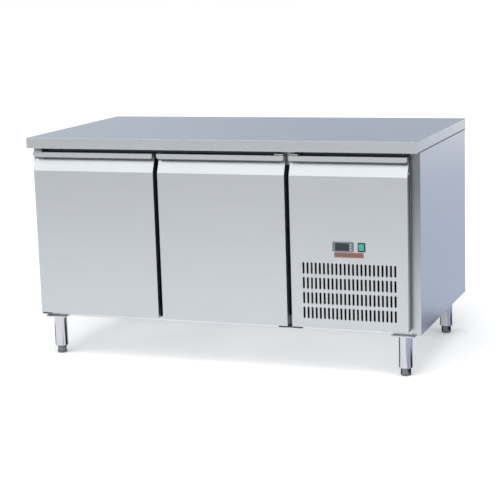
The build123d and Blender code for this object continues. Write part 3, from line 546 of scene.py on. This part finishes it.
piece("evaporator_fan_guard", "cabinet", "shelf_coating", guard)


# ---- Painted shadow line under the worktop's turned-down edges -------------------------------
WORKTOP_EDGE = 0.040
BEAD_DROP = 0.0055
skirt = worktop_high.z - WORKTOP_EDGE


def beads(bm):
    """A thin dark bead in the corner between each side panel and the worktop's edge, standing in for the shadow
    line there: painted shadow.
    """
    front, back = frame_low.y + 0.0005, side_high.y - 0.001
    inner_x, outer_x = side_high.x - 0.0001, worktop_high.x - 0.0002
    profile = [(inner_x, skirt), (outer_x, skirt), (inner_x, skirt - BEAD_DROP)]
    for side in (-1, 1):
        prism(bm, *[[(side * x, y, z) for x, z in profile] for y in (front, back)])
    bmesh.ops.recalc_face_normals(bm, faces=bm.faces)


piece("worktop_shadow_bead", "cabinet", "shadow_bead", beads)


# ---- Screw recesses --------------------------------------------------------------------------
CROSS_HALF = (0.0023, 0.0004, 0.00012)      # half the length, width and depth of an arm
BRACKET_THICKNESS = 0.003
HEAD_HEIGHT = 0.0024
BRACKET_ROWS = (0.180, 0.197, 0.765, 0.782)
REAR_ROWS = (0.180, 0.4825, 0.785)
REAR_INSET = 0.014                          # from a rear sheet's edge to its screws


def crosses(places, axis):
    """Cross recesses on screw heads that face along an axis, drawn as thin dark crosses of painted shade."""
    flat = "XYZ".index(axis)
    sides = [k for k in range(3) if k != flat]

    def build(bm):
        for place in places:
            for narrow in sides:
                half = [CROSS_HALF[0]] * 3
                half[narrow] = CROSS_HALF[1]
                half[flat] = CROSS_HALF[2]
                block(bm, Vector(place) - Vector(half), Vector(place) + Vector(half))
    return build


_, screws_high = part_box("cabinet_screws")
bracket_columns = (left_door_low.x + 0.013, right_door_high.x - 0.010, panel_low.x + 0.007)
bracket_heads = [(x, frame_low.y - BRACKET_THICKNESS - HEAD_HEIGHT, z)
                 for x in bracket_columns for z in BRACKET_ROWS]
piece("bracket_screw_recesses", "cabinet", "recess", crosses(bracket_heads, "Y"))
rear_columns = (-side_high.x + REAR_INSET, panel_low.x - REAR_INSET, side_high.x - REAR_INSET)
rear_heads = [(x, screws_high.y - 0.0001, z) for x in rear_columns for z in REAR_ROWS]
piece("rear_screw_recesses", "cabinet", "recess", crosses(rear_heads, "Y"))
catch_low, catch_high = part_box("service_panel_screw")
_, catch_y, catch_z = (catch_low + catch_high) / 2
piece("panel_screw_recess", "panel", "recess", crosses([(catch_high.x, catch_y, catch_z)], "X"))


# ---- Controller's display and keys, and the label's border -----------------------------------
DIGIT_HEIGHT = 0.0130
DIGIT_WIDTH = 0.0072
DIGIT_PITCH = 0.0125
SEGMENT_BAR = 0.0013
SEGMENT_DEPTH = 0.0001
SEGMENT_PROUD = 0.00015
BORDER_INSET = 0.0018
BORDER_WIDTH = 0.0007
MARK_PROUD = 0.00012
MARK_DEPTH = 0.0003
ARROW_HALF = 0.0020                         # half the width of an arrow
ARROW_TIP = 0.0017
ARROW_BASE = 0.0014
BAR_HALF = (0.0019, 0.0005)                 # half the length and height of the bar on a key

lens_low, lens_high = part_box("controller_lens")
label_low, label_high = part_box("label_plate")


def segments(bm):
    """Three unlit seven-segment digits on the lens."""
    y = lens_low.y - SEGMENT_PROUD
    middle = (lens_low + lens_high) / 2
    across, thin = DIGIT_WIDTH / 2 - SEGMENT_BAR, SEGMENT_BAR / 2
    upright = DIGIT_HEIGHT / 4 - SEGMENT_BAR
    for digit in (-1, 0, 1):
        x = middle.x + digit * DIGIT_PITCH
        bars = [(x, middle.z + level * DIGIT_HEIGHT / 2, across, thin) for level in (-1, 0, 1)]
        bars += [(x + side * DIGIT_WIDTH / 2, middle.z + level * DIGIT_HEIGHT / 4, thin, upright)
                 for side in (-1, 1) for level in (-1, 1)]
        for bar_x, bar_z, half_x, half_z in bars:
            block(bm, (bar_x - half_x, y, bar_z - half_z),
                  (bar_x + half_x, y + SEGMENT_DEPTH, bar_z + half_z))


def border(bm):
    """A thin raised line round the blank label plate."""
    front, back = label_low.y - 0.00015, label_low.y + 0.0002
    x0, x1 = label_low.x + BORDER_INSET, label_high.x - BORDER_INSET
    z0, z1 = label_low.z + BORDER_INSET, label_high.z - BORDER_INSET
    inner_z0, inner_z1 = z0 + BORDER_WIDTH, z1 - BORDER_WIDTH
    block(bm, (x0, front, z0), (x1, back, inner_z0))
    block(bm, (x0, front, inner_z1), (x1, back, z1))
    block(bm, (x0, front, inner_z0), (x0 + BORDER_WIDTH, back, inner_z1))
    block(bm, (x1 - BORDER_WIDTH, front, inner_z0), (x1, back, inner_z1))


def key_mark(body, node_name, direction):
    """A small raised mark on a key: an arrow up (1) or down (-1), or a bar (0)."""
    key_low, key_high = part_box(node_name)
    middle = (key_low + key_high) / 2
    front = key_low.y - MARK_PROUD
    back = front + MARK_DEPTH

    def build_bar(bm):
        half_x, half_z = BAR_HALF
        block(bm, (middle.x - half_x, front, middle.z - half_z),
              (middle.x + half_x, back, middle.z + half_z))

    def build_arrow(bm):
        tip, base = middle.z + direction * ARROW_TIP, middle.z - direction * ARROW_BASE
        outline = [(middle.x - ARROW_HALF, base), (middle.x + ARROW_HALF, base), (middle.x, tip)]
        prism(bm, *[[(x, y, z) for x, z in outline] for y in (front, back)])

    piece(node_name + "_mark", body, "mark_white", build_arrow if direction else build_bar)


piece("display_segments", "panel", "segment", segments)
piece("label_border", "panel", "label_line", border)
key_mark("key_up", "controller_key_up", 1)
key_mark("key_set", "controller_key_set", 0)
key_mark("key_down", "controller_key_down", -1)


# ---- Stage: floor, cards that metal reflects, surroundings -----------------------------------
FLOOR_HALF = 60.0


def glowing(name, colour, strength):
    """A plain glowing material."""
    material, tree = new_tree(name)
    glow = node(tree, "Emission", {"Color": shade(colour), "Strength": strength})
    tree.links.new(glow.outputs[0], node(tree, "OutputMaterial").inputs[0])
    return material


def floor_finish():
    """Matt pale floor, darker well in front of the object."""
    material, tree = new_tree("floor_pale")
    forward = ranged(tree, axes(tree, object_place(tree))[1], 0.0, 1.0, -1.5, -4.2)
    tone = mixed(tree, forward, shade((0.90, 0.90, 0.90)), shade((0.61, 0.61, 0.61)))
    finish_shader(tree, {"Base Color": tone, "Roughness": 0.8})
    return material


def stage_face(name, corners, material):
    """A flat four-cornered piece of the stage."""
    mesh = bpy.data.meshes.new(name)
    mesh.from_pydata(corners, [], [(0, 1, 2, 3)])
    mesh.materials.append(material)
    obj = bpy.data.objects.new(name, mesh)
    bpy.context.collection.objects.link(obj)
    return obj


def card(name, corners, material):
    """A piece of the stage that only reflections show."""
    obj = stage_face(name, corners, material)
    obj.visible_camera = obj.visible_shadow = obj.visible_diffuse = False


def rectangle(x, y, z, half_x, half_y):
    """The corners of a level rectangle about a point."""
    return [(x + sx * half_x, y + sy * half_y, z) for sx, sy in ((-1, -1), (1, -1), (1, 1), (-1, 1))]


def wedge(x, y, z, near_radius, far_radius, start, end):
    """The corners of a level wedge about a point, between two headings in degrees."""
    return [(x + radius * math.cos(math.radians(a)), y + radius * math.sin(math.radians(a)), z)
            for radius, a in ((near_radius, start), (far_radius, start),
                              (far_radius, end), (near_radius, end))]


stage_face("floor", rectangle(0, 0, 0, FLOOR_HALF, FLOOR_HALF), floor_finish())
card("card_side", rectangle(3.6, 2.8, 0.0005, 2.82, 3.8), glowing("card_blue", (0.655, 0.705, 0.87), 1.0))

# Dark wedges on the floor round the legs, which the legs' tubes show as dark streaks. Each leg has
# one behind it to the right, one behind it to the left and one in front, with these reaches.
WEDGE_HEADINGS = {"a": (0, 52), "b": (142, 176), "c": (-44, -37)}
WEDGE_REACHES = {
    "front_left": (0.70, 0.50, 0.35), "front_right": (0.40, 0.70, 0.35), "rear_right": (0.40, 0.30, 0.60),
}
WEDGE_START = 0.03
WEDGE_HEIGHT = 0.0006
card_dark = glowing("card_dark", (0.02, 0.03, 0.04), 0.25)
for leg_name, reaches in WEDGE_REACHES.items():
    leg_low, leg_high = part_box("leg_" + leg_name)
    leg_x, leg_y = (leg_low + leg_high).xy / 2
    for (letter, headings), reach in zip(WEDGE_HEADINGS.items(), reaches):
        corners = wedge(leg_x, leg_y, WEDGE_HEIGHT, WEDGE_START, reach, *headings)
        card("leg_card_" + letter + "_" + leg_name, corners, card_dark)


def studio_world():
    """Soft studio surroundings: bluish low down, white above, brightest in front; white to the
    camera."""
    world = bpy.data.worlds.new("studio")
    bpy.context.scene.world = world
    world.use_nodes = True
    tree = world.node_tree
    tree.nodes.clear()
    x, y, z = axes(tree, node(tree, "TexCoord").outputs["Generated"])
    to_right = ranged(tree, x, 0.0, 1.0, -0.46, -0.30)
    low = mixed(tree, to_right, shade((0.73, 0.82, 0.96)), shade((0.56, 0.655, 0.82)))
    to_front = ranged(tree, y, 1.0, 0.0, -0.5, 0.3)
    low = mixed(tree, to_front, low, shade((0.84, 0.84, 0.84)))
    sky = mixed(tree, ranged(tree, z, 0.0, 1.0, 0.16, 0.5), low, WHITE)
    boost = ranged(tree, y, 1.95, 0.86, -0.75, 0.0)
    strength = combined(tree, "MULTIPLY", boost, ranged(tree, z, 0.50, 1.0, 0.22, 0.42))
    strength = combined(tree, "MAXIMUM", strength, 0.86)
    around_object = node(tree, "Background", {"Color": sky, "Strength": strength}).outputs[0]
    backdrop = node(tree, "Background", {"Color": WHITE, "Strength": 1.0}).outputs[0]
    camera_ray = node(tree, "LightPath").outputs["Is Camera Ray"]
    both = node(tree, "MixShader", {0: camera_ray, 1: around_object, 2: backdrop})
    tree.links.new(both.outputs[0], node(tree, "OutputWorld").inputs[0])


def light(name, kind, place, target, energy, **settings):
    """A light aimed at a point. Reflections don't show it, so metal reflects the surroundings."""
    data = bpy.data.lights.new(name, kind)
    data.energy = energy
    for key, value in settings.items():
        setattr(data, key, value)
    obj = bpy.data.objects.new(name, data)
    bpy.context.collection.objects.link(obj)
    obj.location = place
    obj.rotation_euler = (Vector(target) - Vector(place)).to_track_quat("-Z", "Y").to_euler()
    obj.visible_glossy = False
    return obj


studio_world()
light("sun", "SUN", (-1.0, -2.6, 6.0), (0, 0, 0), 0.7, angle=math.radians(60), color=(1.0, 0.995, 0.98))
light("front_box", "AREA", (0.2, -1.9, 3.4), (0.0, -1.5, 0.0), 45.0,
      shape="RECTANGLE", size=4.5, size_y=1.8, color=(1.0, 0.99, 0.975))
under_fill = light("under_fill", "AREA", (0.0, 0.0, 0.140), (0.0, 0.0, 0.0), 1.7,
                   shape="RECTANGLE", size=1.35, size_y=0.62, color=(1.0, 1.0, 1.0))
under_fill.visible_camera = False


# ---- Camera ----------------------------------------------------------------------------------
CAMERA_PLACE = (1.9523, -5.2365, 1.4348)
YAW, PITCH, ROLL = (math.radians(a) for a in (-20.590, 10.782, -1.782))
camera_data = bpy.data.cameras.new("camera")
camera_data.sensor_width = 36.0
camera_data.lens = 104.60
camera_data.clip_end = 200.0
camera = bpy.data.objects.new("camera", camera_data)
bpy.context.collection.objects.link(camera)
heading = Matrix.Rotation(-YAW, 4, "Z")
tilt = Matrix.Rotation(math.pi / 2 - PITCH, 4, "X")
camera.matrix_world = Matrix.Translation(CAMERA_PLACE) @ heading @ tilt @ Matrix.Rotation(ROLL, 4, "Z")
bpy.context.scene.camera = camera
bpy.context.scene.view_settings.view_transform = "Standard"
